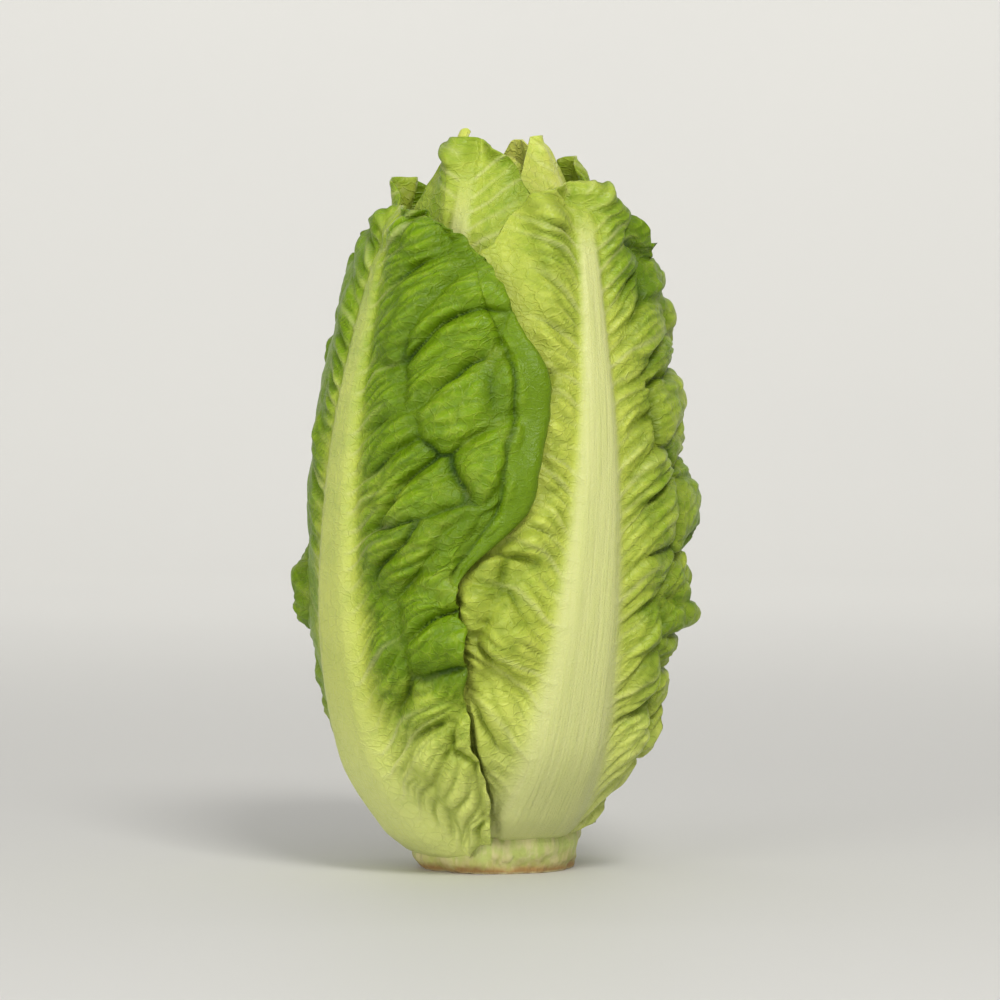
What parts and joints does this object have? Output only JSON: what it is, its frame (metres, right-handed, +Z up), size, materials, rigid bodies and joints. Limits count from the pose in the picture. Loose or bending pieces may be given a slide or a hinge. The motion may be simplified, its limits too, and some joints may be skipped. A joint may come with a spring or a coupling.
{
  "type": "romaine lettuce heart",
  "caption": "Small romaine lettuce heart: crisp ribbed leaves wrapped in a spiral round a cut stem, standing on its cut face.",
  "frame": {"origin": "centre of the stem's flat cut face, which the heart stands on", "axes": "+Z up along the stem towards the leaf tips; -Y is the front, where the broad pale rib of leaf_03 shows right of the middle"},
  "size_m": [0.0768, 0.0732, 0.1416],
  "materials": {
    "outer_leaf": "satin",
    "inner_leaf": "satin",
    "stem_flesh": "matte",
    "bud_leaf": "satin"
  },
  "bodies": {
    "root": {"stem": "stem_flesh", "bud": "bud_leaf", "leaf_01": "outer_leaf", "leaf_02": "outer_leaf", "leaf_03": "outer_leaf", "leaf_04": "outer_leaf", "leaf_05": "outer_leaf", "leaf_06": "outer_leaf", "leaf_07": "inner_leaf", "leaf_08": "inner_leaf", "leaf_09": "inner_leaf", "leaf_10": "inner_leaf", "leaf_11": "inner_leaf", "leaf_12": "inner_leaf", "leaf_13": "inner_leaf", "leaf_14": "inner_leaf", "leaf_15": "inner_leaf"}
  },
  "joints": []
}
